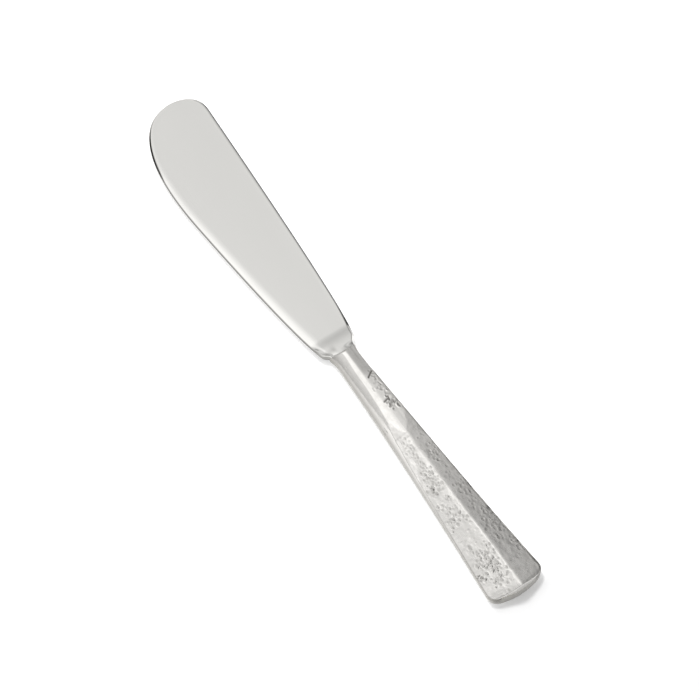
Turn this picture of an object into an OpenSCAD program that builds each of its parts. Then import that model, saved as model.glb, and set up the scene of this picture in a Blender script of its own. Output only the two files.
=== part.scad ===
// Butter knife with a hollow handle, lying on its flat back.
// X runs along the knife: the blade points to +X, the handle to -X, and X = 0 is the handle's mouth.
// +Y is the cutting edge's side and +Z is up, with the handle's flat back on Z = 0.

/* [Handle plan] */
// Length of the handle from its mouth to the butt end
handle_length = 81; // [74:0.5:90]
// Width of the slim neck behind the mouth
neck_width = 6.9; // [6.4:0.1:7.8]
// Width the flare would reach at the very end, before the corners are rounded
butt_width = 16.6; // [14.5:0.1:18.5]
// Radius of the two butt corners
butt_corner = 3; // [2.4:0.1:4]
// How far the butt end bows out between its corners
butt_bow = 0.9; // [0.4:0.1:1.6]
// How far each side of the neck spreads at the mouth
mouth_flare = 0.5; // [0.2:0.05:0.8]
// Length of the neck over which it spreads to the mouth
mouth_flare_length = 3.4; // [2.4:0.1:5]

/* [Handle section] */
// Height of the parting line, the widest edge, above the flat back
parting_height = 3; // [2.8:0.1:3.4]
// Height of the crown over the roof's foot at the mouth
neck_rise = 2.7; // [2.4:0.1:3.2]
// Height of the crown over the roof's foot where the ridge starts
ridge_rise = 3.25; // [3:0.05:3.6]
// Height of the ridge over the roof's foot at the butt
butt_rise = 2.8; // [2.4:0.1:3.2]
// Upright land between the parting line and the roof's foot
edge_land = 0.35; // [0.2:0.05:0.6]
// Half width of the shallow crown facets along the neck
crown_half = 1.3; // [1:0.05:1.6]
// Drop of the shallow crown facets from the middle to their edge
crown_drop = 0.42; // [0.2:0.02:0.6]
// Half width of the worn crest of the ridge
ridge_crest = 0.22; // [0.15:0.01:0.35]
// Distance from the mouth at which the two roof facets have met in a ridge
ridge_start = 30; // [26:0.5:36]
// Length over which the roof facets bite into the round neck
arch_length = 9; // [6:0.5:12]
// How far the back tucks in under the widest edge at the neck
neck_tuck = 1.9; // [1.5:0.1:2.2]
// How far the back tucks in under the widest edge at the butt
butt_tuck = 0.7; // [0.4:0.1:1.2]

/* [Handle construction] */
// Thickness of the two pressed shells
shell_wall = 0.9; // [0.7:0.05:1]
// Thickness of the brazed joint between the shells
braze_gap = 0.16; // [0.1:0.02:0.3]
// Clearance round the cement core and the tang
core_clearance = 0.04; // [0.02:0.01:0.08]
// How far the mouth's top edge rakes back from its sides
mouth_rake = 2.2; // [1.6:0.1:2.8]
// How far the bolster stands in from the handle's mouth all round
mouth_step = 0.2; // [0.14:0.01:0.3]
// Length of the blade's tang inside the handle
tang_length = 46; // [30:1:56]
// Width of the tang where it leaves the bolster
tang_width = 3; // [2.4:0.1:3.3]
// Thickness of the tang where it leaves the bolster
tang_thickness = 2; // [1.6:0.1:2.2]

/* [Blade] */
// Length of the blade from the mouth to the round tip
blade_length = 89; // [82:0.5:96]
// Height of the blade's top face above the table
blade_top = 3.3; // [3:0.1:3.7]
// Thickness of the blade just in front of the heel
blade_thickness = 1.4; // [1.1:0.05:1.7]
// Thickness of the blade at its tip
tip_thickness = 0.9; // [0.75:0.05:1.1]
// Spine's distance from the centre line, carried back to the mouth
spine_root = 4.35; // [3.9:0.05:4.8]
// Spine's distance from the centre line, carried on to the tip
spine_reach = 11.05; // [10:0.05:12]
// Cutting edge's distance from the centre line, carried back to the mouth
edge_root = 4.4; // [4.1:0.1:4.9]
// Cutting edge's distance from the centre line, carried on to the tip
edge_reach = 14.1; // [13:0.1:15.2]
// How far the tip's furthest point lies over to the spine's side
tip_offset = 2.65; // [1.6:0.05:3.6]
// Length of the long curve that brings the cutting edge round to the tip
edge_sweep = 37.4; // [31:0.2:43]
// Length of the short curve that brings the spine round to the tip
spine_sweep = 7.3; // [6:0.1:9]

/* [Blade's heel and edge] */
// Width of the ground bevel on the cutting edge at the heel
bevel_width = 2.7; // [2:0.1:3.2]
// Width of the ground bevel where it runs out at the tip
bevel_tip_width = 1.2; // [0.8:0.1:1.8]
// Thickness left at the cutting edge
edge_thickness = 0.45; // [0.35:0.05:0.55]
// Width of the small round along the spine
rim_round = 0.35; // [0.25:0.05:0.5]
// Length of the ramp from the bolster down to the blade's face
ramp_length = 5.2; // [4.4:0.1:6.4]
// Length of the shoulder at the cutting edge's heel
edge_shoulder = 1.8; // [1.4:0.1:2.6]
// Length of the shoulder at the spine's heel
spine_shoulder = 2.3; // [1.8:0.1:3.2]

/* [Hidden] */

steel_colour = "silver";
shell_colour = "gainsboro";
braze_colour = "lightgoldenrodyellow";
cement_colour = "dimgrey";

// Exponents of the curves
flare_power = 1.44;
mouth_power = 2;
spine_power = 0.58;
edge_power = 0.575;
tip_power = 2.3;
cheek_power = 1.3;
belly_power = 3;
ramp_power = 1.7;
rake_power = 1.7;
bow_power = 8;

// Shares, chosen by hand, of the sizes that they follow
arch_gain_share = 2;
arch_foot_share = 0.95;
roof_split_share = 0.4;
crest_share = 0.6;
tuck_rise_share = 0.8;
tang_end_share = 0.55;
rake_fade_share = 0.08;
cavity_slope_share = 1.3;
core_end_share = 0.2;
spine_side_share = 0.3;
bevel_limit_share = 0.33;
rim_limit_share = 0.25;
tip_round_share = 0.985;

// Counts of steps along and across the sections
roof_steps = 2;
cheek_steps = 5;
tuck_steps = 4;
floor_steps = 4;
mouth_steps = 4;
neck_steps = 4;
arch_steps = 12;
grip_steps = 9;
corner_steps = 7;
heel_steps = 14;
face_steps = 8;
straight_steps = 9;
tip_steps = 20;
crossing_halvings = 14;

// Least step between two creases of a section
least_step = 0.1;

// Derived lengths
braze_half = braze_gap / 2;
edge_half = edge_thickness / 2;
cavity_end = handle_length - shell_wall;
cavity_slope = cavity_slope_share * shell_wall;
core_end = cavity_end - core_end_share * cavity_slope;
crown_rise = edge_land + neck_rise;
bolster_half = neck_width / 2 + mouth_flare - mouth_step;
rake_fade = rake_fade_share * handle_length;
tang_height = parting_height - braze_half;
blade_height = blade_top - blade_thickness / 2;

function lerp(a, b, t) = a + (b - a) * t;
function clamp01(t) = max(0, min(1, t));
function smooth(t) = let (c = clamp01(t)) c * c * (3 - 2 * c);
function reverse(list) = [for (i = [len(list) - 1:-1:0]) list[i]];

// Quarter of a superellipse: 1 at t = 0, falling to 0 at t = 1
function cap(t, power) = pow(max(0, 1 - pow(clamp01(t), power)), 1 / power);

// Sizes of the handle at d, the distance from its mouth towards the butt
function corner_cut(d) =
    let (c = handle_length - d)
    c >= butt_corner ? 0
    : butt_corner - sqrt(max(0, pow(butt_corner, 2) - pow(butt_corner - c, 2)));
function half_at(d) =
    lerp(neck_width, butt_width, pow(clamp01(d / handle_length), flare_power)) / 2
    + mouth_flare * pow(1 - clamp01(d / mouth_flare_length), mouth_power) - corner_cut(d);
function rise_at(d) =
    d < ridge_start ? lerp(neck_rise, ridge_rise, d / ridge_start)
    : lerp(ridge_rise, butt_rise, clamp01((d - ridge_start) / (handle_length - ridge_start)));
function tuck_at(d) = lerp(neck_tuck, butt_tuck, smooth(d / ridge_start));

// The two roof facets stand clear above the round neck and have sunk into it, as a ridge, at ridge_start
function roof_gain(d) =
    d < ridge_start ? 1 + arch_gain_share * (ridge_start - d) / arch_length : 1;
function roof_line(y, half, rise, gain) = rise * gain * (1 - y / half);

// The neck: two shallow crown facets in the middle and a rounded cheek down to each side
function neck_line(y, half, rise) =
    y <= crown_half ? rise - crown_drop * y / crown_half
    : (rise - crown_drop) * cap((y - crown_half) / (half - crown_half), cheek_power);
function front_line_at(y, half, rise, gain) =
    edge_land + min(roof_line(y, half, rise, gain), neck_line(y, half, rise));

// Half width of the tongue of round neck that is left between the two roof facets
function crossing(half, rise, gain, low, high, n) =
    let (y = (low + high) / 2)
    n == 0 ? y
    : roof_line(y, half, rise, gain) < neck_line(y, half, rise)
    ? crossing(half, rise, gain, low, y, n - 1)
    : crossing(half, rise, gain, y, high, n - 1);
function tongue_at(d) =
    let (half = half_at(d), gain = roof_gain(d))
    gain <= 1 ? ridge_crest
    : max(ridge_crest, crossing(half, rise_at(d), gain, 0, half * arch_foot_share, crossing_halvings));

// Half of the front's section, from the widest edge in to the crest, measured from the parting plane.
// Its points keep to the creases: the tongue's edge, and the crown facets' edge where the tongue is wider.
function front_half(d) =
    let (half = half_at(d), rise = rise_at(d), gain = roof_gain(d), tongue = tongue_at(d),
         wide = tongue > crown_half + least_step,
         outer = wide ? tongue : lerp(half, tongue, roof_split_share), inner = wide ? crown_half : tongue,
         ys = concat([for (i = [0:roof_steps]) lerp(half, outer, i / roof_steps)],
             [for (i = [1:cheek_steps]) lerp(outer, inner, i / cheek_steps)],
             [min(ridge_crest, inner * crest_share)]))
    concat([[half, braze_half]],
        [for (y = ys) [y, front_line_at(max(y, ridge_crest), half, rise, gain)]]);

// Half of the back's section, from the widest edge in across the flat back
function back_half(d) =
    let (half = half_at(d), tuck = tuck_at(d), drop = parting_height * tuck_rise_share)
    concat(
        [[half, -braze_half]],
        [for (i = [0:tuck_steps]) let (a = 90 * i / tuck_steps)
            [half - tuck * (1 - cos(a)), drop - parting_height - drop * sin(a)]],
        [for (i = [1:floor_steps]) [(half - tuck) * (1 - i / (floor_steps + 1)), -parting_height]]);

// Both halves as one line from -Y to +Y
function mirrored(points) = concat([for (p = points) [-p[0], p[1]]], reverse(points));

// The same line one wall further in, with its depth falling to nothing at the closed end
function hollowed(d, line, top) =
    let (half = half_at(d), depth = clamp01((cavity_end - d) / cavity_slope),
         side = (half - shell_wall) / half, squash = depth * (top - shell_wall) / top,
         last = len(line) - 1, ease = (1 - depth) / 2)
    [for (i = [0:last])
        let (next = i == 1 ? 2 : i == last - 1 ? last - 2 : i, y = lerp(line[i][0], line[next][0], ease),
             z = line[i][1])
        [y * side, abs(z) <= braze_half ? z : sign(z) * max(braze_half, abs(z) * squash)]];

function front_line(d) = mirrored(front_half(d));
function back_line(d) = mirrored(back_half(d));
function front_hollow(d) = hollowed(d, front_line(d), edge_land + rise_at(d));
function back_hollow(d) = hollowed(d, back_line(d), parting_height);

// A line drawn in all round by a clearance, for what fills the hollow
function eased(line) =
    [for (p = line) [p[0] - sign(p[0]) * min(core_clearance, abs(p[0]) / 2),
        p[1] - sign(p[1]) * min(core_clearance, abs(p[1]) / 2)]];

// Mouth's rake at a height z over the parting plane
function rake(z) = mouth_rake * pow(clamp01(z / crown_rise), rake_power);

// A section's line at its place on the handle, with the raked mouth and the bowed butt end
function placed(d, line) =
    let (half = half_at(d), bow = butt_bow * pow(clamp01(d / handle_length), bow_power),
         fade = clamp01(1 - d / rake_fade))
    [for (p = line) [bow * pow(p[0] / half, 2) - d - fade * rake(p[1]), p[0], parting_height + p[1]]];

arch_start = ridge_start - arch_length;
wall_stations = concat(
    [for (i = [0:mouth_steps - 1]) mouth_flare_length * i / mouth_steps],
    [for (i = [0:neck_steps - 1]) lerp(mouth_flare_length, arch_start, i / neck_steps)],
    [for (i = [0:arch_steps]) lerp(arch_start, ridge_start, i / arch_steps)],
    [for (i = [1:grip_steps - 1]) lerp(ridge_start, handle_length - butt_corner, i / grip_steps)],
    [for (i = [0:corner_steps]) handle_length - butt_corner * (1 - sin(90 * i / corner_steps))]);
core_stations = concat([for (d = wall_stations) if (d < cavity_end - cavity_slope) d],
    [cavity_end - cavity_slope, core_end]);

// Sizes of the blade at x, the distance from the mouth towards the tip
function round_in(x, sweep) = cap(1 - (blade_length - x) / sweep, tip_power);
function spine_base(x) = lerp(spine_root, spine_reach, pow(clamp01(x / blade_length), spine_power));
function edge_base(x) = lerp(edge_root, edge_reach, pow(clamp01(x / blade_length), edge_power));
function spine_at(x) =
    lerp(bolster_half, tip_offset + (spine_base(x) - tip_offset) * round_in(x, spine_sweep),
        smooth(x / spine_shoulder));
function edge_at(x) =
    lerp(bolster_half, (edge_base(x) + tip_offset) * round_in(x, edge_sweep) - tip_offset,
        smooth(x / edge_shoulder));
function thickness_at(x) = lerp(blade_thickness, tip_thickness, clamp01(x / blade_length));
function bevel_at(x) =
    lerp(rim_round, lerp(bevel_width, bevel_tip_width, clamp01(x / blade_length)), smooth(x / ramp_length));
function ramp_at(x) = pow(1 - clamp01(x / ramp_length), ramp_power);

// One face of the blade: side is 1 for the upper face and -1 for the lower one
function blade_line(x, side) =
    let (spine = -spine_at(x), edge = edge_at(x), span = edge - spine,
         bevel = min(bevel_at(x), span * bevel_limit_share), rim = min(rim_round, span * rim_limit_share),
         half = thickness_at(x) / 2, w = ramp_at(x),
         ys = concat([spine], [for (i = [0:face_steps]) lerp(spine + rim, edge - bevel, i / face_steps)],
             [edge]))
    [for (i = [0:len(ys) - 1])
        let (y = ys[i], v = abs(2 * y - spine - edge) / span,
             flat = i == 0 ? half * spine_side_share : i == len(ys) - 1 ? edge_half : half,
             bolster = edge_half + (side > 0
                 ? (crown_rise - mouth_step - edge_half) * cap(v, cheek_power)
                 : (parting_height - mouth_step - edge_half) * cap(v, belly_power)))
        [x, y, lerp(blade_height, parting_height, w) + side * lerp(flat, bolster, w)]];

// The bolster's root, raked to meet the handle's mouth
function root_line(side) =
    [for (p = blade_line(0, side)) [p[0] - rake(p[2] - parting_height), p[1], p[2]]];

function tang_line(x, side, grow) =
    let (taper = lerp(1, tang_end_share, clamp01(-x / tang_length)), n = face_steps + 2,
         half_w = tang_width * taper / 2 + grow, half_t = tang_thickness * taper / 2 + grow)
    [for (i = [0:n]) [x, lerp(-half_w, half_w, i / n), tang_height + side * half_t]];

blade_stations = concat(
    [for (i = [1:heel_steps]) ramp_length * i / heel_steps],
    [for (i = [1:straight_steps]) lerp(ramp_length, blade_length - edge_sweep, i / straight_steps)],
    [for (i = [1:tip_steps]) blade_length - edge_sweep * (1 - sin(90 * tip_round_share * i / tip_steps))]);

function blade_lines(side) = concat(
    [tang_line(-tang_length, side, 0), tang_line(0, side, 0), root_line(side)],
    [for (x = blade_stations) blade_line(x, side)]);

// The tang's socket in the cement, open towards the bolster
function socket_lines(side) =
    [for (x = [-tang_length - core_clearance, mouth_rake]) tang_line(x, side, core_clearance)];

// Closed skin over a row of stations that runs to -X, each an upper and a lower line of as many points
module skin(uppers, lowers) {
    n = len(uppers[0]);
    m = len(uppers);
    ring = 2 * n;
    points = [for (s = [0:m - 1]) each concat(uppers[s], reverse(lowers[s]))];
    sides = [for (s = [0:m - 2]) for (i = [0:ring - 1])
        let (a = s * ring + i, b = s * ring + (i + 1) % ring)
        each [[a, a + ring, b], [b, a + ring, b + ring]]];
    first = [for (i = [0:n - 2])
        each [[i, i + 1, ring - 1 - i], [i + 1, ring - 2 - i, ring - 1 - i]]];
    last = [for (face = first) [for (k = [2:-1:0]) face[k] + (m - 1) * ring]];
    polyhedron(points, concat(sides, first, last), convexity = 6);
}

// One forging: blade, bolster and tang
module blade() {
    color(steel_colour) skin(reverse(blade_lines(1)), reverse(blade_lines(-1)));
}

module handle_front() {
    color(shell_colour) skin(
        [for (d = wall_stations) placed(d, front_line(d))],
        [for (d = wall_stations) placed(d, front_hollow(d))]);
}

module handle_back() {
    color(shell_colour) skin(
        [for (d = wall_stations) placed(d, back_hollow(d))],
        [for (d = wall_stations) placed(d, back_line(d))]);
}

// Thin brazed layer on the parting plane, following the two shells' rims
module seam_braze() {
    outer = [for (d = wall_stations) placed(d, [[half_at(d), 0]])[0]];
    inner = [for (d = wall_stations) if (d < cavity_end)
        placed(d, [[half_at(d) - shell_wall, 0]])[0]];
    butt_half = half_at(handle_length);
    end = [for (p = front_line(handle_length)) if (abs(p[0]) < butt_half)
        placed(handle_length, [[-p[0], 0]])[0]];
    outline = concat(
        [for (p = outer) [p[0], p[1]]],
        [for (p = end) [p[0], p[1]]],
        [for (p = reverse(outer)) [p[0], -p[1]]],
        [for (p = inner) [p[0], -p[1]]],
        [for (p = reverse(inner)) [p[0], p[1]]]);
    color(braze_colour) translate([0, 0, parting_height - braze_half])
        linear_extrude(height = braze_gap) polygon(outline);
}

// Cement core that fills the hollow and grips the tang
module filler() {
    color(cement_colour) difference() {
        skin([for (d = core_stations) placed(d, eased(front_hollow(d)))],
            [for (d = core_stations) placed(d, eased(back_hollow(d)))]);
        skin(reverse(socket_lines(1)), reverse(socket_lines(-1)));
    }
}

blade();
handle_front();
handle_back();
seam_braze();
filler();
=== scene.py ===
"""Butter knife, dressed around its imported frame: a buffed blade in a ridged, finely pitted hollow handle.

Sizes are in millimetres until a mesh is made. X runs from the butt to the blade's tip, with X = 0 at the
handle's mouth, +Y is the cutting edge's side and Z = 0 is the table under the handle's flat back.
"""

import logging
import math
from dataclasses import dataclass, field
from enum import Enum
from typing import Any, Callable, Iterable, Sequence

import bpy
import numpy as np
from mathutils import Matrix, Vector

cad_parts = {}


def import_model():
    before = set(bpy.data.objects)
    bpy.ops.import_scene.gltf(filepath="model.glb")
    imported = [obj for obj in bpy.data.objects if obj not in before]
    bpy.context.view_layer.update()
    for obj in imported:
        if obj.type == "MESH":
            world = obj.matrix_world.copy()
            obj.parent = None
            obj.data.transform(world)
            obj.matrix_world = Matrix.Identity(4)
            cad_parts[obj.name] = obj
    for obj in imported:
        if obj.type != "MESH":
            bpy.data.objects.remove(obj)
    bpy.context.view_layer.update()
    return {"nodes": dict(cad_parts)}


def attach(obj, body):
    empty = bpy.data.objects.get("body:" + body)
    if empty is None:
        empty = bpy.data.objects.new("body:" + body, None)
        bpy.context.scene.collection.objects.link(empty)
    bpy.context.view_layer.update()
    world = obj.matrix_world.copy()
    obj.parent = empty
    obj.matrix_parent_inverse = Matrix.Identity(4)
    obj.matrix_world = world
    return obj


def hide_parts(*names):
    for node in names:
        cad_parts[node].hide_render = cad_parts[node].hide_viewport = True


log = logging.getLogger("butter_knife")

Array = np.ndarray
Fill = tuple[float, float, float, float]
Pair = tuple[float, float]
Line = tuple[tuple[float, ...], tuple[float, ...]]
Source = bpy.types.Node | bpy.types.NodeSocket
MM = 0.001
TINY = 1e-12
WHITE = "#FFFFFF"
DIRT_AND_SHADE = "grime"
FORGED = "forged"

# Sockets of a Mix node that mixes colours
FACTOR, COLOUR_A, COLOUR_B, MIXED = 0, 6, 7, 2


class Half(Enum):
    """Which of the two handle shells is built, and which way it bulges from the parting plane."""

    FRONT = 1
    BACK = -1


# Curves


def lerp(a: Any, b: Any, t: Any) -> Any:
    """Return the value a share t of the way from a to b."""
    return a + (b - a) * t


def clamp(t: Any) -> Any:
    """Return t held between 0 and 1."""
    return np.clip(t, 0.0, 1.0)


def smooth(t: Any) -> Any:
    """Return a smooth step from 0 to 1 as t goes from 0 to 1."""
    c = clamp(t)
    return c * c * (3.0 - 2.0 * c)


def between(t: Any, start: float, end: float) -> Any:
    """Return a smooth step from 0 to 1 as t goes from start to end, which may be the lower one."""
    return smooth((t - start) / (end - start))


def cap(t: Any, power: float) -> Any:
    """Return a quarter of a superellipse: 1 at t = 0, falling to 0 at t = 1."""
    return np.maximum(0.0, 1.0 - clamp(t) ** power) ** (1.0 / power)


def quarter(t: Any) -> Any:
    """Return a quarter circle that rises from 0 at t = 0 to 1 at t = 1."""
    return np.sqrt(np.maximum(0.0, 1.0 - (1.0 - clamp(t)) ** 2))


def soft_min(a: Array, b: Array, width: float) -> Array:
    """Return the lower of two heights, with the crease between them rounded.

    Args:
        a: First height.
        b: Second height.
        width: Height difference over which the crease is rounded.

    Returns:
        The blended heights.
    """
    share = np.maximum(0.0, width - np.abs(a - b)) / width
    return np.minimum(a, b) - share * share * width / 4.0


def respaced(line: Array, count: int, rounding: float) -> Array:
    """Space a section's points evenly along its length and round its corners.

    Args:
        line: Points (n, 2) of the section.
        count: Number of points wanted.
        rounding: Half length over which corners are rounded.

    Returns:
        Points (count, 2) with the two end points kept.
    """
    finer, deviations = 4, 3
    run = np.concatenate([[0.0], np.cumsum(np.hypot(*np.diff(line, axis=0).T))])
    fine_count = count * finer
    fine_run = np.linspace(0.0, run[-1], fine_count)
    fine = np.stack([np.interp(fine_run, run, line[:, k]) for k in (0, 1)], axis=1)
    reach = max(1, int(deviations * rounding / (run[-1] / fine_count)))
    weights = np.exp(-0.5 * (np.arange(-reach, reach + 1) * float(deviations) / reach) ** 2)
    weights /= weights.sum()
    head = 2 * fine[0] - fine[reach:0:-1]
    tail = 2 * fine[-1] - fine[-2 : -2 - reach : -1]
    padded = np.concatenate([head, fine, tail])
    rounded = np.stack([np.convolve(padded[:, k], weights, mode="valid") for k in (0, 1)], axis=1)
    picks = np.linspace(0, fine_count - 1, count)
    return np.stack([np.interp(picks, np.arange(fine_count), rounded[:, k]) for k in (0, 1)], axis=1)


def value_noise(u: Array, v: Array, cell: float, seed: int) -> Array:
    """Return smooth random heights from -1 to 1 over a surface.

    Args:
        u: First surface coordinate of each point.
        v: Second surface coordinate of each point.
        cell: Size of the bumps.
        seed: Seed of the random values.

    Returns:
        A height for each point.
    """
    a, b = u / cell, v / cell
    a, b = a - a.min() + 1.0, b - b.min() + 1.0
    lattice = np.random.default_rng(seed).uniform(-1.0, 1.0, (int(a.max()) + 3, int(b.max()) + 3))
    i, j = a.astype(int), b.astype(int)
    s, t = smooth(a - i), smooth(b - j)
    low = lerp(lattice[i, j], lattice[i + 1, j], s)
    high = lerp(lattice[i, j + 1], lattice[i + 1, j + 1], s)
    return lerp(low, high, t)


def surface_normals(points: Array) -> Array:
    """Return unit normals of a grid of points (m, n, 3), to the left of its rows."""
    normals = np.cross(np.gradient(points, axis=1), np.gradient(points, axis=0))
    return normals / np.maximum(np.linalg.norm(normals, axis=2, keepdims=True), TINY)


# Meshes


@dataclass
class Mesh:
    """A mesh that is put together from grids and strips which share their points."""

    name: str
    points: list[Array] = field(default_factory=list)
    marks: dict[str, list[Array]] = field(default_factory=lambda: {DIRT_AND_SHADE: [], FORGED: []})
    faces: list[tuple[int, ...]] = field(default_factory=list)
    count: int = 0

    def add(self, points: Array, grime: Array | float = 0.0, forged: Array | float = 0.0) -> Array:
        """Add points, in millimetres.

        Args:
            points: Array (..., 3) of places.
            grime: How dark each point is drawn, from 0 to 1: dirt, and painted shade.
            forged: How much of the forged skin is left at each point, from 0 to 1.

        Returns:
            The points' numbers, in the same layout.
        """
        flat = points.reshape(-1, 3)
        self.points.append(flat)
        for mark, levels in ((DIRT_AND_SHADE, grime), (FORGED, forged)):
            self.marks[mark].append(np.broadcast_to(levels, points.shape[:-1]).reshape(-1))
        numbers = np.arange(self.count, self.count + len(flat)).reshape(points.shape[:-1])
        self.count += len(flat)
        return numbers

    def face(self, corners: Iterable[int]) -> None:
        """Add one face, leaving out corners that repeat the one before."""
        kept = [int(c) for c in corners]
        kept = [c for k, c in enumerate(kept) if c != kept[k - 1]]
        if len(set(kept)) == len(kept) and len(kept) > 2:
            self.faces.append(tuple(kept))

    def grid(self, numbers: Array) -> None:
        """Fill a grid (m, n) of point numbers with four-sided faces, seen from the left of its rows."""
        for near, far in zip(numbers[:-1], numbers[1:]):
            for k in range(len(near) - 1):
                self.face((near[k], near[k + 1], far[k + 1], far[k]))

    def zip(self, first: Sequence[int], second: Sequence[int]) -> None:
        """Fill the strip between two lines of point numbers that run side by side.

        Args:
            first: Point numbers of the line on the left of the strip.
            second: Point numbers of the line on its right, in the same direction.
        """
        i, j = 0, 0
        while i < len(first) - 1 or j < len(second) - 1:
            ahead = i * (len(second) - 1) <= j * (len(first) - 1)
            if j == len(second) - 1 or (i < len(first) - 1 and ahead):
                self.face((first[i], second[j], first[i + 1]))
                i += 1
            else:
                self.face((first[i], second[j], second[j + 1]))
                j += 1

    def build(self, sharp_angle: float = 30.0) -> bpy.types.Object:
        """Make the Blender object.

        Args:
            sharp_angle: Angle in degrees above which an edge stays crisp.

        Returns:
            The new object, linked to the scene.
        """
        data = bpy.data.meshes.new(self.name)
        places = np.concatenate(self.points) * MM
        data.from_pydata(places.tolist(), [], self.faces)
        data.validate()
        data.shade_smooth()
        data.set_sharp_from_angle(angle=math.radians(sharp_angle))
        for mark, levels in self.marks.items():
            layer = data.attributes.new(mark, "FLOAT", "POINT")
            layer.data.foreach_set("value", np.concatenate(levels).astype(np.float32))
        made = bpy.data.objects.new(self.name, data)
        bpy.context.scene.collection.objects.link(made)
        return made


# Materials


def linear(shade: str) -> Fill:
    """Turn an sRGB hex colour such as #D4D4CF into linear red, green, blue and alpha."""
    parts = [int(shade[k : k + 2], 16) / 255.0 for k in (1, 3, 5)]
    r, g, b = (c / 12.92 if c <= 0.04045 else ((c + 0.055) / 1.055) ** 2.4 for c in parts)
    return (r, g, b, 1.0)


def per_metre(size: float) -> float:
    """Return the pattern scale that gives features of a size in millimetres."""
    return 1.0 / (size * MM)


def cleared(owner: bpy.types.Material | bpy.types.World) -> bpy.types.NodeTree:
    """Return the node tree of a new material or world, with nothing in it."""
    owner.use_nodes = True
    owner.node_tree.nodes.clear()
    return owner.node_tree


def add_node(
    tree: bpy.types.NodeTree,
    kind: str,
    settings: dict[str | int, Any] | None = None,
    links: dict[str | int, Source] | None = None,
) -> bpy.types.Node:
    """Add a node with its settings and links.

    Args:
        tree: Node tree that the node goes into.
        kind: Blender's name of the node's class.
        settings: Values by property name, or by input name or number.
        links: What feeds an input, by its name or number: a socket, or a node for its first output.

    Returns:
        The new node.
    """
    node = tree.nodes.new(kind)
    for key, value in (settings or {}).items():
        if isinstance(key, str) and hasattr(node, key):
            setattr(node, key, value)
        else:
            node.inputs[key].default_value = value
    for key, source in (links or {}).items():
        socket = source.outputs[0] if isinstance(source, bpy.types.Node) else source
        tree.links.new(socket, node.inputs[key])
    return node


def finish_steel(
    tree: bpy.types.NodeTree, dirt_and_shade_tone: str, polish: Source, gloss: Source, relief: Source
) -> None:
    """Add the metal itself, drawn darker where the mesh's darkening mark says: dirt, and painted shade.

    Args:
        tree: The material's nodes.
        dirt_and_shade_tone: Colour of the darkening, which stands for dirt and for painted shade.
        polish: Colour of the clean metal.
        gloss: Its roughness.
        relief: Its fine relief, as a normal.
    """
    # The mark darkens the metal: partly dirt, partly painted shade.
    dirt_and_shade_mask = add_node(tree, "ShaderNodeAttribute", {"attribute_name": DIRT_AND_SHADE})
    tint = add_node(
        tree,
        "ShaderNodeMix",
        {"data_type": "RGBA", COLOUR_B: linear(dirt_and_shade_tone)},
        {FACTOR: dirt_and_shade_mask.outputs["Fac"], COLOUR_A: polish},
    )
    look = {"Base Color": tint.outputs[MIXED], "Roughness": gloss, "Normal": relief}
    metal = add_node(tree, "ShaderNodeBsdfPrincipled", {"Metallic": 1.0}, look)
    add_node(tree, "ShaderNodeOutputMaterial", links={"Surface": metal})


@dataclass(frozen=True)
class BuffedStainless:
    """Stainless 18/10 steel, buffed along the blade on a soft wheel."""

    # Buffing gives a soft mirror: reflections keep their place and lose their hard edges. Worn patches
    # blur them a little more. Real polishing lines are about 0.02 mm wide, and are drawn coarser than
    # real here so that they show.
    name: str = "buffed_stainless"
    tone: str = "#DDDCD9"
    worn_tone: str = "#D6D5D2"
    dirt_and_shade_tone: str = "#4E4C48"
    roughness: float = 0.13
    roughness_spread: float = 0.05
    line_length: float = 14.0
    line_width: float = 0.12
    line_depth: float = 0.0006
    smudge_size: float = 9.0
    smudge_span: Pair = (0.3, 0.7)

    def build(self) -> bpy.types.Material:
        """Return the material."""
        material = bpy.data.materials.new(self.name)
        tree = cleared(material)
        place = add_node(tree, "ShaderNodeTexCoord").outputs["Object"]
        shape = {"Scale": (self.line_width / self.line_length, 1.0, 1.0)}
        stretch = add_node(tree, "ShaderNodeMapping", shape, {"Vector": place})
        pattern = {"Scale": per_metre(self.line_width), "Detail": 2.0, "Roughness": 0.6}
        lines = add_node(tree, "ShaderNodeTexNoise", pattern, {"Vector": stretch})
        pattern = {"Scale": per_metre(self.smudge_size), "Detail": 3.0, "Roughness": 0.55}
        smudges = add_node(tree, "ShaderNodeTexNoise", pattern, {"Vector": place})
        low, high = self.smudge_span
        levels = {
            "From Min": low,
            "From Max": high,
            "To Min": self.roughness,
            "To Max": self.roughness + self.roughness_spread,
        }
        gloss = add_node(tree, "ShaderNodeMapRange", levels, {"Value": smudges})
        tones = {"data_type": "RGBA", COLOUR_A: linear(self.tone), COLOUR_B: linear(self.worn_tone)}
        polish = add_node(tree, "ShaderNodeMix", tones, {FACTOR: lines}).outputs[MIXED]
        cut = {"Strength": 1.0, "Distance": self.line_depth * MM}
        relief = add_node(tree, "ShaderNodeBump", cut, {"Height": lines})
        finish_steel(tree, self.dirt_and_shade_tone, polish, gloss, relief)
        return material


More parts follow.
